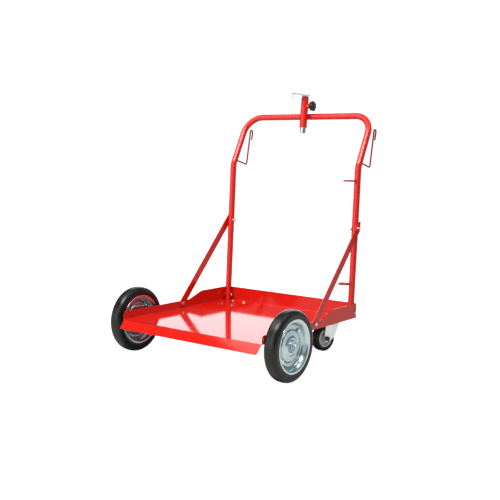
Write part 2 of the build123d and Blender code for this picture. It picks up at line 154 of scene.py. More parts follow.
def piece(name, mesh, finish, body, nodes=(), place=stand):
    """Puts a mesh into the scene as a piece that rides on a body and stands for CAD nodes."""
    mesh.transform(place)
    if place.determinant() < 0:
        mesh.flip_normals()
    mesh.materials.clear()
    mesh.materials.append(finish)
    mesh.shade_smooth()
    mesh.set_sharp_from_angle(angle=crease_angle)
    made = bpy.data.objects.new(name, mesh)
    bpy.context.scene.collection.objects.link(made)
    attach(made, body)
    if nodes:
        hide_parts(*nodes)
    return made


def ease_edges(made, width_mm):
    """Rounds a piece's sharp edges by a small bevel, and keeps its flat faces flat to the eye."""
    bevel = made.modifiers.new("eased_edges", "BEVEL")
    bevel.width = width_mm / 1000
    bevel.segments = 2
    bevel.limit_method = "ANGLE"
    bevel.angle_limit = ease_angle
    made.modifiers.new("flat_faces", "WEIGHTED_NORMAL").keep_sharp = True


def mesh_from(name, work, place=Matrix.Identity(4)):
    """A mesh from a bmesh, with its doubles merged and its faces turned outwards."""
    bmesh.ops.remove_doubles(work, verts=work.verts, dist=merge_gap)
    bmesh.ops.recalc_face_normals(work, faces=work.faces)
    mesh = bpy.data.meshes.new(name)
    work.to_mesh(mesh)
    work.free()
    mesh.transform(place)
    return mesh


def tray_mesh():
    """The middle of the sheet: its walls in columns, its lip in rows, and one face for the floor."""
    inner_x = tray_width / 2 - sheet / 2 - fold_radius
    inner_y = tray_depth + sheet / 2 - fold_radius
    middle = -sheet / 2
    top = [(0, middle), (0, front_height), (rise_start, front_height), (rise_end, rim_height)]
    skyline = rounded([*top, (inner_y, rim_height)], (nose_round, rise_round, rise_round))[1:]
    quarter = [pi / 2 * step / bend_steps for step in range(bend_steps + 1)]
    right = [(Vector((inner_x, y)), Vector((1, 0)), z) for y, z in skyline]
    right += [(Vector((inner_x, inner_y)), Vector((cos(a), sin(a))), rim_height) for a in quarter[1:]]
    left = [(Vector((-foot.x, foot.y)), Vector((-out.x, out.y)), z) for foot, out, z in right[::-1]]
    work = bmesh.new()
    columns = []
    for foot, out, height in [*right, *left]:
        bend = [(foot + out * fold_radius * sin(a), middle + fold_radius * (1 - cos(a))) for a in quarter]
        bend.append((bend[-1][0], height))
        columns.append([work.verts.new((*spot, z)) for spot, z in bend])
    for one, two in zip(columns, columns[1:]):
        for corners in zip(one, two, two[1:], one[1:]):
            work.faces.new(corners)
    floor = [column[0] for column in columns]
    slope = Vector((-lip_reach, -lip_drop)).normalized()
    bend = fold_radius * tan(slope.angle(Vector((-1, 0))) / 2)
    fall = rounded([(bend, middle), (0, middle), (-lip_reach, middle - lip_drop)], [fold_radius])
    rows = [(spot, inner_x) for spot in fall[1:-1]]
    for a in quarter:
        spot = fall[-1] - slope * lip_round * (1 - sin(a))
        rows.append((spot, inner_x - lip_round * (1 - cos(a))))
    rows = [[work.verts.new((x, *spot)) for x in (-half, half)] for spot, half in rows]
    for one, two in zip(rows, rows[1:]):
        work.faces.new((one[0], one[1], two[1], two[0]))
    while floor[1].co.y < bend:
        floor = floor[1:-1]
    floor[0].co.y = floor[-1].co.y = bend
    work.faces.new([*floor, *rows[0]])
    return mesh_from("tray_sheet", work)


tray = piece("tray_sheet", tray_mesh(), red_coat, "frame", ["tray"])
wall = tray.modifiers.new("sheet", "SOLIDIFY")
wall.thickness = sheet / 1000
wall.offset = 0.0
wall.use_even_offset = True
ease_edges(tray, edge_round)

# Handle: one steel tube of 25 mm with four mandrel bends, its feet bolted inside the tray's rear corners.
# The tube stays round through its bends, and it has the tray's red powder coat.
tube_radius = 12.5
strut_thick = 3.0
foot_gap = 1.0
upright_x = tray_width / 2 - sheet - strut_thick - tube_radius
upright_lean = radians(2.2)
handle_lean = radians(26.75)
bend_height = 578.6
handle_height = 776.3
knee_radius = 70.0
corner_radius = 75.0
hoop_steps = 18
foot_y = tray_depth - foot_gap - tube_radius / cos(upright_lean) - rim_height * tan(upright_lean)
knee_y = foot_y + bend_height * tan(upright_lean)
handle_y = knee_y + (handle_height - bend_height) * tan(handle_lean)


def rod(name, points, radius, sides=8, closed=False, radii=None):
    """A round bar along points, drawn as a curve with a round bevel of four times as many sides."""
    curve = bpy.data.curves.new(name, "CURVE")
    curve.dimensions = "3D"
    curve.bevel_depth = radius
    curve.bevel_resolution = 2 * sides - 2
    curve.use_fill_caps = not closed
    line = curve.splines.new("POLY")
    line.points.add(len(points) - 1)
    for at, spot in enumerate(points):
        line.points[at].co = (*spot, 1.0)
        line.points[at].radius = radii[at] if radii else 1.0
    line.use_cyclic_u = closed
    maker = bpy.data.objects.new(name, curve)
    mesh = bpy.data.meshes.new_from_object(maker)
    bpy.data.objects.remove(maker)
    bpy.data.curves.remove(curve)
    return mesh


leg = [(upright_x, foot_y, 0), (upright_x, knee_y, bend_height), (upright_x, handle_y, handle_height)]
hoop = [*leg, *[(-x, y, z) for x, y, z in leg[::-1]]]
hoop_rounds = (knee_radius, corner_radius, corner_radius, knee_radius)
hoop_line = rounded(hoop, hoop_rounds, steps=hoop_steps)
piece("handle_tube", rod("handle_tube", hoop_line, tube_radius), tube_coat, "frame", ["handle_frame"])

# Struts: two flat bars of 30 by 3 mm, sheared round at the foot and trimmed along the upright at the top.
# They brace the uprights against the tray's sides with one bolt at each end, in the same red coat.
flat_angle = radians(0.5)


def dressed(node, name, finish, body, edge_mm=edge_round):
    """A copy of a CAD node with its triangles joined into whole faces and its sharp edges eased."""
    mesh = frame["nodes"][node].data.copy()
    work = bmesh.new()
    work.from_mesh(mesh)
    bmesh.ops.remove_doubles(work, verts=work.verts, dist=merge_gap / 1000)
    bmesh.ops.dissolve_limit(work, angle_limit=flat_angle, verts=work.verts, edges=work.edges)
    work.to_mesh(mesh)
    work.free()
    if "custom_normal" in mesh.attributes:
        mesh.attributes.remove(mesh.attributes["custom_normal"])
    made = piece(name, mesh, finish, body, [node], Matrix.Identity(4))
    ease_edges(made, edge_mm)
    return made


for side in side_ways:
    dressed(f"{side}_strut", f"{side}_strut_bar", red_coat, "frame")

# Hose hooks and rings: mild steel wire, bent cold and welded on. A hook stands behind each handle leg,
# and two closed rings are on the right upright. They have the frame's red coat, painted darker as painted
# shade.
hook_wire = 6.5
hook_rise = 18.3
hook_reach = 82.0
hook_dip = 20.0
hook_stem = 147.0
hook_lean = radians(9.5)
eye_width = 17.0
eye_length = 42.0
eye_draw = 9.0
hook_bend = 8.0
hook_sink = 0.5
hook_steps = 8
wire_tip = 0.02
ring_wire = 6.0
ring_dia = 44.0
ring_turn = radians(65)
ring_bite = 1.0
ring_rises = {"lower_ring": 133.0, "upper_ring": 526.0}
ring_steps = 72

# Painted shade: the wire's coat is the frame's red, painted darker for the shade that thin wire shows.
wire_coat_painted_dark = powder_coat("red_powder_coat_painted_dark", "#920E16", "#9C1019", 0.18, 0.24)


def blunted(points, radius, steps=bend_steps):
    """The points of a wire with its last end rounded, and how thick it is at each of them."""
    tip, way = points[-1], (points[-2] - points[-1]).normalized()
    angles = [pi / 2 * step / steps for step in range(steps + 1)]
    end = [tip + way * radius * (1 - sin(a)) for a in angles]
    shares = [*[1.0] * (len(points) - 1), *[max(cos(a), wire_tip) for a in angles]]
    return [*points[:-1], *end], shares


hook_weld = Vector((upright_x, knee_y + hook_rise * tan(handle_lean), bend_height + hook_rise))
hook_heel = hook_weld + Vector((0, hook_reach, -hook_dip))
hook_top = hook_heel + Vector((0, hook_stem * tan(hook_lean), hook_stem))
hook_far = hook_top + Vector((0, eye_width, 0))
hook_tip = hook_far + Vector((0, -eye_draw, -eye_length))
hook_way = (hook_heel - hook_weld).normalized()
hook_root = hook_weld + hook_way * (tube_radius - hook_sink)
hook_corners = [hook_root, hook_heel, hook_top, hook_far, hook_tip]
hook_line = rounded(hook_corners, [hook_bend] * 3, steps=hook_steps)
hook_points, hook_radii = blunted(hook_line, hook_wire / 2)
for side, way in side_ways.items():
    name = f"{side}_hook_wire"
    wire = rod(name, hook_points, hook_wire / 2, radii=hook_radii)
    piece(name, wire, wire_coat_painted_dark, "frame", [f"{side}_hose_hook"], stand @ way)

ring_away = tube_radius + ring_dia / 2 + ring_wire / 2 - ring_bite
ring_out = Vector((-cos(ring_turn), -sin(ring_turn), 0))
upright_way = Vector((0, sin(upright_lean), cos(upright_lean)))
for node, rise in ring_rises.items():
    middle = Vector((upright_x, foot_y + rise * tan(upright_lean), rise)) + ring_out * ring_away
    turns = [2 * pi * step / ring_steps for step in range(ring_steps)]
    circle = [middle + Vector((cos(a), sin(a), 0)) * ring_dia / 2 for a in turns]
    wire = rod(f"{node}_wire", circle, ring_wire / 2, closed=True)
    piece(f"{node}_wire", wire, wire_coat_painted_dark, "frame", [node])

# Drum clamp: a sleeve welded to the crossbar, in which a zinc plated post slides up and down.
# The post carries a hook plate that turns over the drum's rim, and a screw with a star knob locks it.
clamp_lean = radians(5)
saddle_bite = 1.0
sleeve_radius = 15.0
sleeve_bore = 12.5
sleeve_above = 76.7
sleeve_below = 48.3
sleeve_edge = 0.6
post_radius = 12.0
post_bore = 9.0
post_above = 0.8
post_below = 69.3
post_edge = 0.8
plate_edge = 0.8
screw_rise = 39.2
clamp_offset = tube_radius + sleeve_radius - saddle_bite
clamp_way = Vector((0, sin(clamp_lean), cos(clamp_lean)))
clamp_y = handle_y - clamp_offset * cos(clamp_lean)
clamp_z = handle_height + clamp_offset * sin(clamp_lean)
clamp_place = Matrix.Translation((0, clamp_y, clamp_z)) @ Matrix.Rotation(-clamp_lean, 4, "X")
to_right = Matrix.Rotation(pi / 2, 4, "Y")
screw_place = clamp_place @ Matrix.Translation((0, 0, screw_rise)) @ to_right


# Bright zinc plate with a clear blue passivation: polished metal, cloudy in its gloss and its faint tint.
# It keeps the fine grain of rolling and turning, drawn coarser than the real one so that it shows.
# Its colour is darkened in the creases as painted shade, by how much of the surroundings the piece's own
# shape hides.
def zinc_plate(name, pale, tinted, low, high):
    cloud_mm, grain_mm, grain_deep_mm, recess_mm = 35.0, 1.2, 0.02, 40.0
    made, tree, place = new_finish(name)
    cloud = {"Vector": place, "Scale": 1000 / cloud_mm, "Detail": 3.0}
    cloud = add(tree, "ShaderNodeTexNoise", cloud).outputs[0]
    tone = {0: cloud, 6: linear(pale), 7: linear(tinted)}
    tone = add(tree, "ShaderNodeMix", tone, data_type="RGBA").outputs[2]
    # Painted shade: ambient occlusion darkens the colour in creases and recesses.
    painted_recess_shade = {"Color": tone, "Distance": recess_mm / 1000}
    painted_recess_shade = add(tree, "ShaderNodeAmbientOcclusion", painted_recess_shade, only_local=True).outputs["Color"]
    grain = {"Vector": place, "Scale": 1000 / grain_mm, "Detail": 2.0}
    grain = add(tree, "ShaderNodeTexNoise", grain).outputs[0]
    blend = add(tree, "ShaderNodeMix", {0: 0.4, 2: cloud, 3: grain}).outputs[0]
    gloss = {0: blend, 1: 0.25, 2: 0.75, 3: low, 4: high}
    gloss = add(tree, "ShaderNodeMapRange", gloss).outputs[0]
    bump = {"Height": grain, "Strength": 0.3, "Distance": grain_deep_mm / 1000}
    bump = add(tree, "ShaderNodeBump", bump).outputs[0]
    surface(tree, {"Base Color": painted_recess_shade, "Roughness": gloss, "Normal": bump, "Metallic": 1.0})
    return made


# The post and the bolts are bright, and hot rolled plate comes out of the bath satin and pale.
# The pressed rims are bluer, turned pieces keep the tool's dull grain, and black is for the casters' bolts.
zinc = zinc_plate("bright_zinc_plate", "#E8F0F3", "#D8E5E9", 0.10, 0.20)
satin_zinc = zinc_plate("satin_zinc_plate", "#FFFFFF", "#F4F8FA", 0.24, 0.34)
blue_zinc = zinc_plate("blue_zinc_plate", "#D8E7ED", "#C8DAE1", 0.16, 0.28)
turned_zinc = zinc_plate("turned_zinc_plate", "#D5E3E9", "#C7D8DF", 0.34, 0.44)
black_zinc = zinc_plate("black_zinc_plate", "#4A4A50", "#3A3A3E", 0.25, 0.35)


def turned(name, outline, place, steps=96):
    """A body turned about z from a closed outline of radius and height, set at its place."""
    work = bmesh.new()
    rings = []
    for step in range(steps):
        spin = Matrix.Rotation(2 * pi * step / steps, 3, "Z")
        rings.append([work.verts.new(spin @ Vector((r, 0, z))) for r, z in outline])
    for one, two in zip(rings, rings[1:] + rings[:1]):
        for corners in zip(one, one[1:] + one[:1], two[1:] + two[:1], two):
            work.faces.new(corners)
    return mesh_from(name, work, place)


def tube_outline(radius, bore, low, high, edge):
    """The closed outline of a tube between two heights, with its edges rounded."""
    corners = [(radius, low), (radius, high), (bore, high), (bore, low)]
    return rounded(corners, [edge] * 4, steps=4, closed=True)


sleeve = tube_outline(sleeve_radius, sleeve_bore, -sleeve_below, sleeve_above, sleeve_edge)
sleeve = turned("clamp_sleeve_tube", sleeve, clamp_place, steps=64)
piece("clamp_sleeve_tube", sleeve, tube_coat, "frame", ["clamp_sleeve"])
post = tube_outline(post_radius, post_bore, -post_below, sleeve_above + post_above, post_edge)
post = turned("clamp_post_tube", post, clamp_place, steps=64)
piece("clamp_post_tube", post, zinc, "clamp_post", ["clamp_post"])
dressed("hook_plate", "drum_hook_plate", satin_zinc, "drum_hook", plate_edge)

# Bolts and nuts of the frame: hexagon steel, turned to a cone at the end, with rolled or tapped threads.
# One set of nodes makes them all and puts them on points that carry the direction in which each one faces.
m8_pitch = 1.25
m8_head = {"Flats": 13.0, "Height": 5.3, "Shank": 4.0, "Pitch": m8_pitch, "Nut": False}
m8_nut = {"Flats": 13.0, "Height": 6.5, "Bore": 4.05, "Nut": True}
bolt_spare = 2.0
thread_sides = 24
thread_rows = 4.0
hexagon_sides = 48
hexagon_spans = 5
face_share = 0.475
cone_angle = radians(30)
loose_seed = 5
join_gap = 0.01
strut_foot_y = 323.0
strut_foot_rise = 18.5
strut_top_rise = 344.0
upright_bolt_rise = 23.0
caster_pitch_x = 60.0
caster_pitch_y = 80.0
caster_plate_thick = 3.0
flange_out = tray_width / 2
flange_in = flange_out - sheet
tube_face = upright_x - tube_radius


def node_group(name, given, gives):
    """An empty set of geometry nodes with its inputs, each named with its kind, and its one output."""
    tree = bpy.data.node_groups.new(name, "GeometryNodeTree")
    for socket, kind in given.items():
        tree.interface.new_socket(socket, in_out="INPUT", socket_type=f"NodeSocket{kind}")
    tree.interface.new_socket(gives, in_out="OUTPUT", socket_type="NodeSocketGeometry")
    return tree, add(tree, "NodeGroupInput").outputs


def thread_nodes():
    """Nodes for a threaded rod from z = 0 downwards: a cylinder whose wall waves along a helix."""
    given = dict.fromkeys(("Radius", "Length", "Plain Length", "Pitch"), "Float")
    tree, size = node_group("threaded_rod", given, "Rod")
    math = "ShaderNodeMath"
    turns = add(tree, math, {0: size["Length"], 1: size["Pitch"]}, operation="DIVIDE").outputs[0]
    rows = add(tree, math, {0: turns, 1: thread_rows}, operation="MULTIPLY").outputs[0]
    bar = {"Vertices": thread_sides, "Side Segments": rows}
    bar |= {"Radius": size["Radius"], "Depth": size["Length"]}
    bar = add(tree, "GeometryNodeMeshCylinder", bar).outputs["Mesh"]
    lower = add(tree, math, {0: size["Length"], 1: -0.5}, operation="MULTIPLY").outputs[0]
    lower = add(tree, "ShaderNodeCombineXYZ", {"Z": lower}).outputs[0]
    bar = add(tree, "GeometryNodeTransform", {"Geometry": bar, "Translation": lower}).outputs[0]
    spot = add(tree, "GeometryNodeInputPosition").outputs[0]
    axes = add(tree, "ShaderNodeSeparateXYZ", {0: spot}).outputs
    turn = add(tree, math, {0: axes["Y"], 1: axes["X"]}, operation="ARCTAN2").outputs[0]
    turn = add(tree, math, {0: turn, 1: 2 * pi}, operation="DIVIDE").outputs[0]
    rise = add(tree, math, {0: axes["Z"], 1: size["Pitch"]}, operation="DIVIDE").outputs[0]
    phase = add(tree, math, {0: turn, 1: rise}, operation="ADD").outputs[0]
    wave = add(tree, math, {0: phase, 1: 0.5}, operation="PINGPONG").outputs[0]
    depth = add(tree, math, {0: wave, 1: size["Pitch"]}, operation="MULTIPLY").outputs[0]
    under = add(tree, math, {0: axes["Z"], 1: -1.0}, operation="MULTIPLY").outputs[0]
    cut = add(tree, math, {0: under, 1: size["Plain Length"]}, operation="GREATER_THAN").outputs[0]
    depth = add(tree, math, {0: depth, 1: cut}, operation="MULTIPLY").outputs[0]
    flat = add(tree, "ShaderNodeVectorMath", {0: spot, 1: (1, 1, 0)}, operation="MULTIPLY").outputs[0]
    out = add(tree, "ShaderNodeVectorMath", {0: flat}, operation="NORMALIZE").outputs[0]
    inward = add(tree, math, {0: depth, 1: -1.0}, operation="MULTIPLY").outputs[0]
    move = add(tree, "ShaderNodeVectorMath", {0: out, "Scale": inward}, operation="SCALE").outputs[0]
    made = add(tree, "GeometryNodeSetPosition", {"Geometry": bar, "Offset": move}).outputs[0]
    add(tree, "NodeGroupOutput", {"Rod": made})
    return tree


def hexagon_nodes():
    """Nodes for hexagon bolts or nuts: the seat is at each point, and the head stands along its axis."""
    given = ("Flats", "Height", "Bore", "Shank", "Shank Length", "Plain Length", "Pitch")
    given = {"Points": "Geometry"} | dict.fromkeys(given, "Float") | {"Nut": "Bool", "Finish": "Material"}
    tree, size = node_group("hexagon_fasteners", given, "Fasteners")
    math = "ShaderNodeMath"
    tube = {"Vertices": hexagon_sides, "Side Segments": hexagon_spans}
    tube |= {"Radius": 1.0, "Depth": float(hexagon_spans)}
    tube = add(tree, "GeometryNodeMeshCylinder", tube, fill_type="NONE").outputs["Mesh"]
    spot = add(tree, "GeometryNodeInputPosition").outputs[0]
    axes = add(tree, "ShaderNodeSeparateXYZ", {0: spot}).outputs
    turn = add(tree, math, {0: axes["Y"], 1: axes["X"]}, operation="ARCTAN2").outputs[0]
    turn = add(tree, math, {0: turn, 1: pi / 6, 2: -pi / 6}, operation="WRAP").outputs[0]
    cosine = add(tree, math, {0: turn}, operation="COSINE").outputs[0]
    half = add(tree, math, {0: size["Flats"], 1: 0.5}, operation="MULTIPLY").outputs[0]
    side = add(tree, math, {0: half, 1: cosine}, operation="DIVIDE").outputs[0]
    face = add(tree, math, {0: size["Flats"], 1: face_share}, operation="MULTIPLY").outputs[0]
    past = add(tree, math, {0: face, 1: side}, operation="SUBTRACT").outputs[0]
    cone = {0: past, 1: tan(cone_angle), 2: size["Height"]}
    cone = add(tree, math, cone, operation="MULTIPLY_ADD").outputs[0]
    solid = add(tree, math, {0: 1.0, 1: size["Nut"]}, operation="SUBTRACT").outputs[0]
    inner = add(tree, math, {0: solid, 1: size["Height"]}, operation="MULTIPLY").outputs[0]
    # The tube's rings become the seat's hole and edge, the cone's foot and top, and the hole's two ends
    ring = {0: axes["Z"], 1: (hexagon_spans + 1) / 2}
    ring = add(tree, math, ring, operation="ADD").outputs[0]
    reach = {1: size["Bore"], 2: side, 3: side, 4: face, 5: size["Bore"], 6: size["Bore"]}
    rise = {3: cone, 4: size["Height"], 5: size["Height"], 6: inner}
    picked = []
    for levels in (reach, rise):
        pick = add(tree, "GeometryNodeIndexSwitch", {"Index": ring}, data_type="FLOAT")
        while len(pick.index_switch_items) <= hexagon_spans:
            pick.index_switch_items.new()
        for at, level in levels.items():
            tree.links.new(level, pick.inputs[at])
        picked.append(pick.outputs[0])
    flat = add(tree, "ShaderNodeCombineXYZ", {"X": axes["X"], "Y": axes["Y"]}).outputs[0]
    flat = {0: flat, "Scale": picked[0]}
    flat = add(tree, "ShaderNodeVectorMath", flat, operation="SCALE").outputs[0]
    lift = add(tree, "ShaderNodeCombineXYZ", {"Z": picked[1]}).outputs[0]
    place = add(tree, "ShaderNodeVectorMath", {0: flat, 1: lift}, operation="ADD").outputs[0]
    head = add(tree, "GeometryNodeSetPosition", {"Geometry": tube, "Position": place}).outputs[0]
    head = {"Geometry": head, "Distance": join_gap}
    head = add(tree, "GeometryNodeMergeByDistance", head).outputs[0]
    thread = {"Radius": size["Shank"], "Length": size["Shank Length"]}
    thread |= {"Plain Length": size["Plain Length"], "Pitch": size["Pitch"]}
    shank = add(tree, "GeometryNodeGroup", node_tree=threaded_rod)
    for name, value in thread.items():
        tree.links.new(value, shank.inputs[name])
    bolt = add(tree, "GeometryNodeJoinGeometry", {0: head})
    tree.links.new(shank.outputs[0], bolt.inputs[0])
    kind = {"Switch": size["Nut"], "False": bolt.outputs[0], "True": head}
    kind = add(tree, "GeometryNodeSwitch", kind, input_type="GEOMETRY").outputs[0]
    axis = {"Name": "axis"}
    axis = add(tree, "GeometryNodeInputNamedAttribute", axis, data_type="FLOAT_VECTOR").outputs[0]
    facing = add(tree, "FunctionNodeAlignRotationToVector", {"Vector": axis}, axis="Z").outputs[0]
    loose = add(tree, "FunctionNodeRandomValue", {"Seed": loose_seed}, data_type="FLOAT")
    loose.inputs[3].default_value = pi / 3
    spin = {"Axis": (0, 0, 1), "Angle": loose.outputs[1]}
    spin = add(tree, "FunctionNodeAxisAngleToRotation", spin).outputs[0]
    turn = {"Rotation": facing, "Rotate By": spin}
    turn = add(tree, "FunctionNodeRotateRotation", turn, rotation_space="LOCAL").outputs[0]
    spread = {"Points": size["Points"], "Instance": kind, "Rotation": turn}
    spread = add(tree, "GeometryNodeInstanceOnPoints", spread).outputs[0]
    real = add(tree, "GeometryNodeRealizeInstances", {0: spread}).outputs[0]
    real = add(tree, "GeometryNodeSetMaterial", {"Geometry": real, "Material": size["Finish"]}).outputs[0]
    add(tree, "NodeGroupOutput", {"Fasteners": real})
    return tree


def grown(name, tree, start, sizes):
    """The plain mesh that a set of nodes makes from a starting mesh, with its named sizes."""
    maker = bpy.data.objects.new(name, start)
    bpy.context.scene.collection.objects.link(maker)
    nodes = maker.modifiers.new(name, "NODES")
    nodes.node_group = tree
    for socket in tree.interface.items_tree:
        if socket.in_out == "INPUT" and socket.name in sizes:
            nodes[socket.identifier] = sizes[socket.name]
    graph = bpy.context.evaluated_depsgraph_get()
    mesh = bpy.data.meshes.new_from_object(maker.evaluated_get(graph), depsgraph=graph)
    mesh.name = name
    bpy.data.objects.remove(maker)
    return mesh


def fasteners(node, seats, sizes, finish=zinc, body="frame", place=stand):
    """The bolts or nuts of a CAD node at seats, each a point and the way in which its hexagon stands."""
    name = f"{node}_hex"
    start = bpy.data.meshes.new(name)
    start.from_pydata([seat for seat, _ in seats], [], [])
    ways = start.attributes.new("axis", "FLOAT_VECTOR", "POINT")
    for at, (_, way) in enumerate(seats):
        ways.data[at].vector = way
    mesh = grown(name, hexagon_fasteners, start, sizes | {"Finish": finish})
    piece(name, mesh, finish, body, [node], place)


def across(x, y, z, way):
    """A seat on the right and its mirror on the left, facing outwards for way 1 and inwards for -1."""
    return [(Vector((side * x, y, z)), Vector((side * way, 0, 0))) for side in (-1, 1)]


def coated(node, finish):
    """Gives its finish to a CAD node that is shown as it is."""
    mesh = frame["nodes"][node].data
    mesh.materials.clear()
    mesh.materials.append(finish)


def bolt_sizes(grip):
    """An M8 bolt whose thread starts past the pieces that it grips and ends past its nut."""
    length = grip + m8_nut["Height"] + bolt_spare
    return m8_head | {"Shank Length": length, "Plain Length": grip}


threaded_rod = thread_nodes()
hexagon_fasteners = hexagon_nodes()
upright_bolt_y = foot_y + upright_bolt_rise * tan(upright_lean)
strut_top_y = foot_y + strut_top_rise * tan(upright_lean)
bolt_lines = {
    "upright_bolts": (flange_out, tube_face, upright_bolt_y, upright_bolt_rise),
    "strut_top_bolts": (flange_in, tube_face, strut_top_y, strut_top_rise),
    "strut_foot_bolts": (flange_out, flange_in - strut_thick, strut_foot_y, strut_foot_rise),
}
nut_seats = []
for node, (head_x, nut_x, y, z) in bolt_lines.items():
    fasteners(node, across(head_x, y, z, 1), bolt_sizes(head_x - nut_x))
    nut_seats += across(nut_x, y, z, -1)
fasteners("frame_nuts", nut_seats, m8_nut)

caster_holes = []
for middle_x in (-caster_x, caster_x):
    for step_x in (-caster_pitch_x / 2, caster_pitch_x / 2):
        for step_y in (-caster_pitch_y / 2, caster_pitch_y / 2):
            caster_holes.append(Vector((middle_x + step_x, caster_y + step_y, 0)))
plate_under = Vector((0, 0, -sheet - caster_plate_thick))
down = Vector((0, 0, -1))
fasteners("caster_bolts", [(hole, -down) for hole in caster_holes], bolt_sizes(-plate_under.z))
fasteners("caster_nuts", [(hole + plate_under, down) for hole in caster_holes], m8_nut)
coated("upright_spacers", red_coat)

# Clamp screw: a hexagon boss welded to the sleeve, with a zinc plated screw of 10 mm through it.
# A black moulded star knob with seven lobes sits on the screw's end, pressed onto its thread.
boss_root = 13.0
boss_reach = 26.0
boss = {"Flats": 17.0, "Height": boss_reach - boss_root, "Bore": 5.1, "Nut": True}
screw_radius = 5.0
screw_pitch = 1.5
tip_gap = 0.3
screw_tip = post_radius + tip_gap
knob_start = 31.0
knob_thick = 15.0
knob_radius = 20.0
knob_lobes = 7
knob_front_round = 4.0
knob_back_round = 2.0
scallop_radius = 7.0
scallop_depth = 4.5
lobe_soft = 0.6
neck_radius = 9.0
neck_length = 3.0
neck_edge = 0.8
knob_skin = 4.0
knob_bore_gap = 0.05
knob_hole_spare = 0.1
dimple_edge = 1.0
dimple_step = 0.6
dimple_depth = 0.9
lobe_steps = 30
round_steps = 5

seat = screw_place @ Vector((0, 0, boss_root))
fasteners("clamp_boss", [(seat, Vector((1, 0, 0)))], boss, red_coat)

screw_end = knob_start + knob_thick - knob_skin
screw = {"Radius": screw_radius, "Length": screw_end - screw_tip}
screw |= {"Plain Length": 0.0, "Pitch": screw_pitch}
screw_start = bpy.data.meshes.new("clamp_screw_thread")
screw_mesh = grown("clamp_screw_thread", threaded_rod, screw_start, screw)
screw_mesh.transform(screw_place @ Matrix.Translation((0, 0, screw_end)))
piece("clamp_screw_thread", screw_mesh, zinc, "clamp_screw", ["clamp_screw"])


# Glass filled nylon or rubber from a mould: a satin skin with the spark grain of its mould.
# Its colour is darkened in its recesses as painted shade, by how much of the surroundings the piece's own
# shape hides.
def moulded(name, colour, faded, low, high):
    spark_mm, spark_deep_mm, cloud_mm, recess_mm = 0.9, 0.03, 14.0, 14.0
    made, tree, place = new_finish(name)
    cloud = {"Vector": place, "Scale": 1000 / cloud_mm, "Detail": 2.0}
    cloud = add(tree, "ShaderNodeTexNoise", cloud).outputs[0]
    tone = {0: cloud, 6: linear(colour), 7: linear(faded)}
    tone = add(tree, "ShaderNodeMix", tone, data_type="RGBA").outputs[2]
    # Painted shade: ambient occlusion darkens the colour in recesses.
    painted_recess_shade = {"Color": tone, "Distance": recess_mm / 1000}
    painted_recess_shade = add(tree, "ShaderNodeAmbientOcclusion", painted_recess_shade, only_local=True).outputs["Color"]
    spark = {"Vector": place, "Scale": 1000 / spark_mm, "Detail": 2.0}
    spark = add(tree, "ShaderNodeTexNoise", spark).outputs[0]
    gloss = add(tree, "ShaderNodeMapRange", {0: spark, 3: low, 4: high}).outputs[0]
    bump = {"Height": spark, "Strength": 0.4, "Distance": spark_deep_mm / 1000}
    bump = add(tree, "ShaderNodeBump", bump).outputs[0]
    surface(tree, {"Base Color": painted_recess_shade, "Roughness": gloss, "Normal": bump, "IOR": 1.5})
    return made


black_nylon = moulded("black_moulded_nylon", "#131313", "#1A1A1A", 0.25, 0.4)


def lobe_radius(turn):
    """How far the star reaches at an angle: a circle cut by scallops, with the lobes' corners softened."""
    pitch = 2 * pi / knob_lobes
    off = (turn + pitch / 2) % pitch - pitch / 2
    centre = knob_radius + scallop_radius - scallop_depth
    reach = scallop_radius**2 - (centre * sin(off)) ** 2
    if reach <= 0:
        return knob_radius
    cut = centre * cos(off) - sqrt(reach)
    return (cut + knob_radius - sqrt((cut - knob_radius) ** 2 + lobe_soft**2)) / 2


def knob_mesh():
    """The knob in columns round its axis: blind hole, neck, the star's rounded edges and the face."""
    back, front = knob_start, knob_start + knob_thick
    mouth = back - neck_length
    bore = screw_radius + knob_bore_gap
    deep = screw_end + knob_hole_spare
    curve = [pi / 2 * step / round_steps for step in range(round_steps + 1)]
    stem = [(0.0, deep), (bore, deep), (bore, mouth), (neck_radius - neck_edge, mouth)]
    stem += [(neck_radius, mouth + neck_edge), (neck_radius, back)]
    star = [(back + knob_back_round * (1 - cos(a)), knob_back_round * (1 - sin(a))) for a in curve]
    star += [(front - knob_front_round * (1 - sin(a)), knob_front_round * (1 - cos(a))) for a in curve]
    face = [(neck_radius + dimple_edge, front), (neck_radius, front - dimple_step)]
    face.append((0.0, front - dimple_depth))
    work = bmesh.new()
    columns = []
    for step in range(knob_lobes * lobe_steps):
        turn = 2 * pi * step / (knob_lobes * lobe_steps)
        ring = [*stem, *[(lobe_radius(turn) - inset, z) for z, inset in star], *face]
        columns.append([work.verts.new((r * cos(turn), r * sin(turn), z)) for r, z in ring])
    for one, two in zip(columns, columns[1:] + columns[:1]):
        for corners in zip(one, one[1:], two[1:], two):
            work.faces.new(corners)
    return mesh_from("star_knob_moulding", work, screw_place)


piece("star_knob_moulding", knob_mesh(), black_nylon, "star_knob", ["star_knob"])

# Welds: beads of filler where the sleeve, the boss, the hooks and the rings meet their tubes.
# They follow the joint with the ripple that the welder's hand leaves, and they are coated with the frame.
saddle_bead = 2.6
wire_bead = 1.6
ring_bead = 1.5
weld_ripple = 0.12
weld_pitch = 2.0
weld_steps = 40
weld_hand = 2.5
bead_step = 0.5
bead_sides = 12
bead_lift = 0.3
saddle_half = (8.5, 8.0)
hook_collar = hook_wire / 2 + 0.9
boss_collar = 8.9
ring_half = (6.0, 3.4)
ring_lift = 0.6


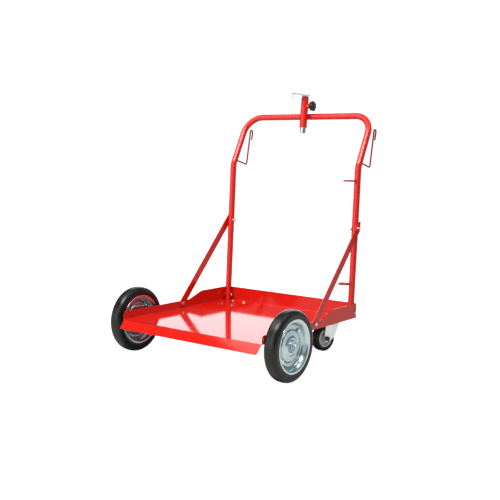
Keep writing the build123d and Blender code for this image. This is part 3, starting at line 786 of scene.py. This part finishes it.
def weld_nodes():
    """Nodes for weld beads: a round bar along each line, whose thickness ripples at the weld's pitch."""
    given = {"Lines": "Geometry"} | dict.fromkeys(("Radius", "Ripple", "Ripple Pitch"), "Float")
    tree, size = node_group("weld_beads", given | {"Finish": "Material"}, "Beads")
    math = "ShaderNodeMath"
    line = add(tree, "GeometryNodeMeshToCurve", {"Mesh": size["Lines"]}).outputs[0]
    line = {"Curve": line, "Length": bead_step}
    line = add(tree, "GeometryNodeResampleCurve", line, mode="LENGTH").outputs[0]
    along = add(tree, "GeometryNodeSplineParameter").outputs["Length"]
    turn = add(tree, math, {0: along, 1: size["Ripple Pitch"]}, operation="DIVIDE").outputs[0]
    wave = add(tree, math, {0: turn, 1: 0.5}, operation="PINGPONG").outputs[0]
    wave = add(tree, math, {0: wave, 1: 2.0}, operation="MULTIPLY").outputs[0]
    spot = add(tree, "GeometryNodeInputPosition").outputs[0]
    hand = add(tree, "ShaderNodeTexNoise", {"Vector": spot, "Scale": 1 / weld_hand}).outputs[0]
    thick = add(tree, math, {0: wave, 1: hand}, operation="ADD").outputs[0]
    thick = add(tree, math, {0: thick, 1: size["Ripple"], 2: 1.0}, operation="MULTIPLY_ADD").outputs[0]
    thick = add(tree, math, {0: thick, 1: size["Radius"]}, operation="MULTIPLY").outputs[0]
    ring = {"Resolution": bead_sides, "Radius": 1.0}
    ring = add(tree, "GeometryNodeCurvePrimitiveCircle", ring).outputs[0]
    bead = {"Curve": line, "Profile Curve": ring, "Scale": thick, "Fill Caps": True}
    bead = add(tree, "GeometryNodeCurveToMesh", bead).outputs[0]
    real = add(tree, "GeometryNodeRealizeInstances", {0: bead}).outputs[0]
    real = add(tree, "GeometryNodeSetMaterial", {"Geometry": real, "Material": size["Finish"]}).outputs[0]
    add(tree, "NodeGroupOutput", {"Beads": real})
    return tree


weld_turns = [2 * pi * step / weld_steps for step in range(weld_steps)]


def rod_foot(root, way, tube_way, reach, radius):
    """The loop at which a collar round a rod meets the tube that the rod grows from, at the rod's root."""
    lateral = tube_way.cross(way).normalized()
    out = lateral.cross(tube_way).normalized()
    level = way.cross(lateral).normalized()
    loop = []
    for a in weld_turns:
        aside, up = reach * cos(a), reach * sin(a)
        run = (sqrt(radius**2 - aside**2) - up * level.dot(out)) / way.dot(out)
        loop.append(root + lateral * aside + level * up + way * run)
    return loop


def saddle_seam(half_width, half_height):
    """The loop in the wedge between the sleeve and the crossbar, halfway between their surfaces."""
    loop = []
    for a in weld_turns:
        x, z = half_width * cos(a), half_height * sin(a)
        near = sqrt(sleeve_radius**2 - x**2)
        far = clamp_offset - sqrt(tube_radius**2 - z**2)
        loop.append(clamp_place @ Vector((x, (near + far) / 2, z)))
    return loop


def ring_seam(rise, half_width, half_height):
    """The loop round the place at which a ring touches the upright."""
    spot = Vector((upright_x, foot_y + rise * tan(upright_lean), rise))
    spot += ring_out * (tube_radius + ring_lift)
    along = ring_out.cross(upright_way).normalized()
    loop = []
    for a in weld_turns:
        aside = half_width * cos(a)
        sink = tube_radius - sqrt(tube_radius**2 - aside**2)
        loop.append(spot + along * aside + upright_way * half_height * sin(a) - ring_out * sink)
    return loop


leg_way = Vector((0, sin(handle_lean), cos(handle_lean)))
hook_seam = rod_foot(hook_weld, hook_way, leg_way, hook_collar, tube_radius + bead_lift)
boss_middle = screw_place.translation
boss_way = Vector((1, 0, 0))
boss_seam = rod_foot(boss_middle, boss_way, clamp_way, boss_collar, sleeve_radius + bead_lift)
weld_loops = {
    saddle_bead: [saddle_seam(*saddle_half)],
    wire_bead: [hook_seam, [Vector((-x, y, z)) for x, y, z in hook_seam], boss_seam],
    ring_bead: [ring_seam(rise, *ring_half) for rise in ring_rises.values()],
}
weld_beads = weld_nodes()
work = bmesh.new()
for radius, loops in weld_loops.items():
    start = bpy.data.meshes.new("weld_lines")
    edges = []
    for first in range(0, len(loops) * weld_steps, weld_steps):
        edges += [(first + at, first + (at + 1) % weld_steps) for at in range(weld_steps)]
    start.from_pydata([spot for loop in loops for spot in loop], edges, [])
    sizes = {"Radius": radius, "Ripple": weld_ripple}
    sizes |= {"Ripple Pitch": weld_pitch, "Finish": red_coat}
    work.from_mesh(grown("weld_beads", weld_beads, start, sizes))
piece("weld_beads", mesh_from("weld_beads", work), red_coat, "frame")

# Front axle: a drawn bar of 20 mm under the tray, in two pressed brackets that are welded to the floor.
# A collar, two washers and a pressed cap hold each wheel in its place, all of them zinc plated.
wheel_out = 35.6
wheel_x = tray_width / 2 + wheel_out
wheel_y = 104.4
axle_drop = 17.0
axle_radius = 10.0
axle_gap = 0.05
hub_half = 23.0
side_gap = 0.3
washer_radius = 16.0
washer_thick = 3.0
washer_edge = 0.4
cap_radius = 12.0
cap_length = 6.0
cap_round = 2.2
cap_skin = 1.5
cap_dish = 0.7
dish_radius = 6.5
wheel_place = Matrix.Translation((wheel_x, wheel_y, -axle_drop)) @ to_right


def both_sides(mesh):
    """A mesh of the right side joined with its mirror on the left."""
    work = bmesh.new()
    work.from_mesh(mesh)
    mesh.transform(mirror)
    mesh.flip_normals()
    work.from_mesh(mesh)
    work.to_mesh(mesh)
    work.free()
    return mesh


for node in ("front_axle", "axle_collars"):
    coated(node, zinc)
for side in side_ways:
    dressed(f"{side}_axle_bracket", f"{side}_axle_saddle", red_coat, "frame")

washer_out = hub_half + side_gap
work = bmesh.new()
for low in (washer_out, -washer_out - washer_thick):
    ring = tube_outline(washer_radius, axle_radius + axle_gap, low, low + washer_thick, washer_edge)
    work.from_mesh(turned("axle_washer", ring, wheel_place, steps=64))
washers = both_sides(mesh_from("axle_washer_rings", work))
piece("axle_washer_rings", washers, turned_zinc, "frame", ["axle_washers"])

cap_low = washer_out + washer_thick
cap_high = cap_low + cap_length
cap_bore = axle_radius + axle_gap
cap = [(cap_bore, cap_low)]
cap += rounded([(cap_radius, cap_low), (cap_radius, cap_high), (dish_radius, cap_high)], [cap_round])
cap += [(dish_radius - cap_dish, cap_high - cap_dish), (0, cap_high - cap_dish)]
cap += [(0, cap_high - cap_skin), (cap_bore, cap_high - cap_skin)]
caps = both_sides(turned("axle_cap_shells", cap, wheel_place, steps=64))
piece("axle_cap_shells", caps, turned_zinc, "frame", ["axle_caps"])

# Front wheels: a solid black rubber tyre, clamped between two pressed steel halves by four bolts.
# The halves are zinc plated dishes with a domed middle, on a turned hub with a roller bearing in it.
wheel_radius = 123.5
tread_half = 8.0
flank_half = 22.6
flank_drop = 10.0
belly_half = 24.2
seam_half = 1.6
seam_height = 0.8
lip_radius = 92.0
lip_depth = 23.2
wall_top = 84.5
wall_depth = 21.8
wall_bend = 78.5
bend_depth = 14.5
web_offset = 1.25
web_inner = 56.5
web_outer = 73.0
step_radius = 52.5
step_depth = 5.4
collar_radius = 36.0
collar_depth = 6.6
dome_radius = 28.0
dome_depth = 11.0
rim_rounds = (3.0, 5.0, 2.0, 2.0, 13.0, 30.0, 10.0)
press_sheet = 2.4
bead_gap = 0.3
bead_rise = 1.0
rim_bolt_radius = 64.5
rim_bolts_each = 4
hub_radius = 21.5
hub_gap = 0.1
hub_edge = 0.8
bearing_radius = 15.0
flank_steps = 10
shoulder_steps = 12
rim_steps = 5
edge_steps = 8


# Solid rubber, moulded black: dull with a soft sheen, faint rings from the mould and a little bloom.
# Both wheels share one axle line, so the rings are drawn about that line.
def black_rubber(name, colour, bloom, low, high, middle):
    ring_mm, ring_deep_mm, dust_mm, grain_mm, grain_deep_mm = 2.5, 0.04, 22.0, 1.0, 0.06
    made, tree, place = new_finish(name)
    centred = {"Vector": place, "Location": [-c for c in middle]}
    centred = add(tree, "ShaderNodeMapping", centred).outputs[0]
    flat = {0: centred, 1: (0, 1, 1)}
    flat = add(tree, "ShaderNodeVectorMath", flat, operation="MULTIPLY").outputs[0]
    reach = add(tree, "ShaderNodeVectorMath", {0: flat}, operation="LENGTH").outputs["Value"]
    phase = {0: reach, 1: 1000 / ring_mm * 2 * pi}
    phase = add(tree, "ShaderNodeMath", phase, operation="MULTIPLY").outputs[0]
    rings = add(tree, "ShaderNodeMath", {0: phase}, operation="SINE").outputs[0]
    dust = {"Vector": place, "Scale": 1000 / dust_mm, "Detail": 3.0}
    dust = add(tree, "ShaderNodeTexNoise", dust).outputs[0]
    grain = {"Vector": place, "Scale": 1000 / grain_mm, "Detail": 2.0}
    grain = add(tree, "ShaderNodeTexNoise", grain).outputs[0]
    tone = {0: dust, 6: linear(colour), 7: linear(bloom)}
    tone = add(tree, "ShaderNodeMix", tone, data_type="RGBA").outputs[2]
    gloss = {0: dust, 1: 0.3, 2: 0.7, 3: low, 4: high}
    gloss = add(tree, "ShaderNodeMapRange", gloss).outputs[0]
    soft = {"Height": rings, "Strength": 0.12, "Distance": ring_deep_mm / 1000}
    soft = add(tree, "ShaderNodeBump", soft).outputs[0]
    fine = {"Height": grain, "Strength": 0.35, "Distance": grain_deep_mm / 1000, "Normal": soft}
    fine = add(tree, "ShaderNodeBump", fine).outputs[0]
    surface(tree, {"Base Color": tone, "Roughness": gloss, "Normal": fine, "IOR": 1.46})
    return made


axle_middle = stand @ Vector((0, wheel_y, -axle_drop))
tyre_rubber = black_rubber("black_tyre_rubber", "#0B0B0C", "#121213", 0.26, 0.36, axle_middle)


def shoulder_arc(radius, tread, flank, drop):
    """The arc of a tyre's shoulder in its half section, from the flank to the edge of the tread."""
    span = flank - tread
    bend = (span**2 + drop**2) / (2 * drop)
    last = acos(1 - drop / bend)
    turns = [last * (1 - step / shoulder_steps) for step in range(shoulder_steps + 1)]
    return [Vector((radius - bend * (1 - cos(a)), tread + bend * sin(a))) for a in turns]


def both_halves(half):
    """A half section and its mirror, as one closed outline."""
    return [*half, *[Vector((r, -z)) for r, z in half[::-1]]]


def tyre_outline():
    """The section from the rim's channel over bead and shoulder to the mould's seam, and its mirror."""
    inside = press_sheet / 2 + bead_gap
    tread = wheel_radius - seam_height
    flank = Vector((tread - flank_drop, flank_half))
    seat = Vector((lip_radius, lip_depth - inside))
    base = Vector((web_outer + press_sheet, web_offset))
    half = [base, Vector((wall_top + bead_rise, wall_depth - inside)), seat]
    bulge = belly_half - (seat.y + flank_half) / 2
    for step in range(1, flank_steps):
        share = step / flank_steps
        half.append(seat.lerp(flank, share) + Vector((0, bulge * 4 * share * (1 - share))))
    half += shoulder_arc(tread, tread_half, flank_half, flank_drop)
    half += [Vector((tread, seam_half)), Vector((wheel_radius, seam_half / 2))]
    return both_halves(half)


def pressed(line, thick):
    """The outline of a sheet along a line, with both of its edges rounded."""
    sides = [[], []]
    ends = []
    for at, spot in enumerate(line):
        along = (line[min(at + 1, len(line) - 1)] - line[max(at - 1, 0)]).normalized()
        out = Vector((-along.y, along.x)) * thick / 2
        sides[0].append(spot + out)
        sides[1].append(spot - out)
    for spot, other in ((line[-1], line[-2]), (line[0], line[1])):
        along = (spot - other).normalized() * thick / 2
        out = Vector((-along.y, along.x))
        turns = [pi * step / edge_steps for step in range(1, edge_steps)]
        ends.append([spot + out * cos(a) + along * sin(a) for a in turns])
    return [*sides[0], *ends[0], *sides[1][::-1], *ends[1]]


rim_root = hub_radius + hub_gap + press_sheet / 2
rim_corners = [(rim_root, dome_depth), (dome_radius, dome_depth), (collar_radius, collar_depth)]
rim_corners += [(step_radius, step_depth), (web_inner, web_offset), (web_outer, web_offset)]
rim_corners += [(wall_bend, bend_depth), (wall_top, wall_depth), (lip_radius, lip_depth)]
rim_outer = pressed(rounded(rim_corners, rim_rounds, steps=rim_steps), press_sheet)
wheel_outlines = {
    "rim_outer": rim_outer,
    "rim_inner": [Vector((r, -z)) for r, z in rim_outer],
    "hub": tube_outline(hub_radius, bearing_radius + hub_gap, -hub_half, hub_half, hub_edge),
    "bearing": tube_outline(bearing_radius, axle_radius + axle_gap, -hub_half, hub_half, hub_edge),
}
web_face = web_offset + press_sheet / 2
rim_turns = [pi / 4 + 2 * pi * at / rim_bolts_each for at in range(rim_bolts_each)]
rim_holes = [Vector((rim_bolt_radius * cos(a), rim_bolt_radius * sin(a), 0)) for a in rim_turns]
outward = Vector((1, 0, 0))
bolt_seats = [(wheel_place @ hole + outward * web_face, outward) for hole in rim_holes]
nut_seats = [(wheel_place @ hole - outward * web_face, -outward) for hole in rim_holes]
for side, way in side_ways.items():
    body = f"{side}_front_wheel"
    place = stand @ way
    name = f"{side}_tyre_rubber"
    tyre = turned(name, tyre_outline(), wheel_place, steps=144)
    piece(name, tyre, tyre_rubber, body, [f"{side}_tyre"], place)
    for node, outline in wheel_outlines.items():
        name = f"{side}_{node}_turning"
        mesh = turned(name, outline, wheel_place, steps=128)
        finish = blue_zinc if node.startswith("rim") else turned_zinc
        piece(name, mesh, finish, body, [f"{side}_{node}"], place)
    fasteners(f"{side}_rim_bolts", bolt_seats, bolt_sizes(2 * web_face), zinc, body, place=place)
    fasteners(f"{side}_rim_nuts", nut_seats, m8_nut, zinc, body, place=place)

# Casters: pressed zinc plated forks that swivel under a bolted plate on a kingpin.
# Each carries a black rubber wheel of 100 mm on a grey moulded core, on a bolt of 10 mm.
caster_turn = radians(-13)
caster_trail = 38.0
caster_drop = 73.0
caster_radius = 50.0
caster_half = 17.4
caster_tread = 8.0
caster_flank_drop = 8.0
core_radius = 34.0
core_gap = 0.1
core_half = 14.5
core_ring = 5.0
core_web = 6.0
core_bore = 5.1
core_hub_radius = 12.0
core_hub_half = 18.9
core_draft = 0.8
core_edge = 1.0
fork_face = 22.5
fork_edge = 0.5
m10_pitch = 1.5
m10_nut = {"Flats": 17.0, "Height": 8.0, "Bore": 5.05, "Nut": True}
m10_head = {"Flats": 17.0, "Height": 6.4, "Shank": 5.0, "Pitch": m10_pitch, "Nut": False}
m10_length = 2 * fork_face + m10_nut["Height"] + bolt_spare
m10_bolt = m10_head | {"Shank Length": m10_length, "Plain Length": 2 * fork_face}

caster_rubber = moulded("black_caster_rubber", "#131212", "#1B1A1A", 0.38, 0.52)
grey_core = moulded("grey_moulded_nylon", "#F2F4F5", "#FAFBFB", 0.3, 0.42)


def core_outline():
    """The core's section: a long hub, a web and a ring that carries the tyre, with rounded corners."""
    ring = core_radius - core_ring
    half = [(core_bore, core_hub_half), (core_hub_radius, core_hub_half)]
    half += [(core_hub_radius + core_draft, core_web), (ring - core_draft, core_web)]
    half += [(ring, core_half), (core_radius, core_half)]
    whole = both_halves(half)
    return rounded(whole, [core_edge] * len(whole), steps=4, closed=True)


caster_shoulder = shoulder_arc(caster_radius, caster_tread, caster_half, caster_flank_drop)
caster_section = both_halves([Vector((core_radius + core_gap, core_half)), *caster_shoulder])
for side, sign in (("left", -1), ("right", 1)):
    mount = Matrix.Translation((sign * caster_x, caster_y, -sheet)) @ Matrix.Rotation(caster_turn, 4, "Z")
    axle = mount @ Matrix.Translation((0, -caster_trail, -caster_drop)) @ to_right
    way = axle.to_3x3() @ Vector((0, 0, 1))
    fork = f"{side}_caster_fork"
    wheel = f"{side}_caster_wheel"
    dressed(f"{side}_caster_plate", f"{side}_caster_top", zinc, "frame", fork_edge)
    dressed(f"{side}_fork", f"{side}_fork_pressing", satin_zinc, fork, fork_edge)
    coated(f"{side}_kingpin", zinc)
    head_seats = [(axle @ Vector((0, 0, fork_face)), way)]
    fasteners(f"{side}_caster_bolt", head_seats, m10_bolt, black_zinc, fork)
    nut_seats = [(axle @ Vector((0, 0, -fork_face)), -way)]
    fasteners(f"{side}_caster_nut", nut_seats, m10_nut, zinc, fork)
    tyre = turned(f"{side}_caster_rubber", caster_section, axle)
    piece(f"{side}_caster_rubber", tyre, caster_rubber, wheel, [f"{side}_caster_tyre"])
    core = turned(f"{side}_caster_moulding", core_outline(), axle)
    piece(f"{side}_caster_moulding", core, grey_core, wheel, [f"{side}_caster_core"])

# Stage: a plain pale floor in a white surround, with soft lamps and pale walls that the cart mirrors.
# The camera stands to the right of the front and just below the crossbar, as the photograph's did.
scene = bpy.context.scene
scene.view_settings.view_transform = "Standard"
floor_half = 3.0
floor_corners = [(x * floor_half, y * floor_half, 0) for x, y in ((-1, -1), (1, -1), (1, 1), (-1, 1))]
floor_mesh = bpy.data.meshes.new("floor")
floor_mesh.from_pydata(floor_corners, [], [(0, 1, 2, 3)])
floor = bpy.data.objects.new("floor", floor_mesh)
scene.collection.objects.link(floor)

# Matt white paper: it shows white to the camera, and the cart mirrors it a little darker.
pale, tree, place = new_finish("pale_floor")
seen = add(tree, "ShaderNodeLightPath").outputs["Is Camera Ray"]
paper = {"Base Color": linear("#CFCFCF"), "Roughness": 0.9, "Specular IOR Level": 0.0}
surface(tree, paper | {"Emission Color": linear("#FCFCFC"), "Emission Strength": seen})
floor_mesh.materials.append(pale)

# The surround is white to the camera, and the cart mirrors a dim room with soft glows. Each glow has the
# way towards it, the cosines of the angles at which it begins and is full, and its strength.
world = bpy.data.worlds.new("white_surround")
scene.world = world
world.use_nodes = True
tree = world.node_tree
tree.nodes.clear()
sky = add(tree, "ShaderNodeTexCoord").outputs["Generated"]
room_level = 0.11
glows = {
    "back wall": ((-0.45, 0.88, 0.15), 0.80, 0.97, 2.2),
    "left front wall": ((-0.42, -0.88, 0.15), 0.80, 0.97, 1.8),
    "front wall": ((0.35, -0.90, 0.18), 0.82, 0.96, 0.62),
    "right wall": ((0.80, 0.40, 0.35), 0.60, 0.95, 0.20),
    "right back wall": ((0.59, 0.81, 0.03), 0.985, 0.996, 0.80),
    "ceiling": ((0.30, 0.00, 0.92), 0.72, 0.97, 0.60),
}
level = room_level
for way, edge, full, strength in glows.values():
    facing = {0: sky, 1: Vector(way).normalized()}
    facing = add(tree, "ShaderNodeVectorMath", facing, operation="DOT_PRODUCT").outputs["Value"]
    glow = {0: facing, 1: edge, 2: full, 3: 0.0, 4: strength}
    glow = add(tree, "ShaderNodeMapRange", glow, interpolation_type="SMOOTHSTEP").outputs[0]
    level = add(tree, "ShaderNodeMath", {0: level, 1: glow}, operation="ADD").outputs[0]
light = add(tree, "ShaderNodeBackground", {"Color": linear("#E2F3F6"), "Strength": level}).outputs[0]
white = add(tree, "ShaderNodeBackground", {"Color": linear("#FFFFFF"), "Strength": 1.1}).outputs[0]
seen = add(tree, "ShaderNodeLightPath").outputs["Is Camera Ray"]
both = add(tree, "ShaderNodeMixShader", {0: seen, 1: light, 2: white}).outputs[0]
add(tree, "ShaderNodeOutputWorld", {"Surface": both})

lamp_aim = Vector((0, 0, 0.4))
for name, spot, width, height, power in (
    ("top_light", (0.25, -1.45, 2.85), 3.2, 0.85, 104),
    ("front_light", (-0.41, -2.32, 1.50), 1.2, 1.0, 4),
    ("left_light", (-1.23, -0.71, 2.58), 1.4, 1.4, 14),
    ("right_light", (1.40, 0.60, 2.70), 1.2, 1.2, 5),
):
    lamp = bpy.data.lights.new(name, "AREA")
    lamp.shape = "ELLIPSE"
    lamp.size = width
    lamp.size_y = height
    lamp.energy = power
    lamp.color = linear("#FFF6EA")[:3]
    made = bpy.data.objects.new(name, lamp)
    made.location = spot
    made.rotation_euler = (lamp_aim - Vector(spot)).to_track_quat("-Z", "Y").to_euler()
    made.visible_camera = False
    scene.collection.objects.link(made)

camera_tilt = radians(8.0)
camera_roll = radians(0.12)
camera_turn = radians(36.59)
camera = bpy.data.objects.new("camera", bpy.data.cameras.new("camera"))
scene.collection.objects.link(camera)
camera.location = (1.8442, -2.5021, 0.8234)
camera.rotation_euler = (pi / 2 - camera_tilt, camera_roll, camera_turn)
camera.data.lens = 59.3
camera.data.sensor_width = 36.0
scene.camera = camera
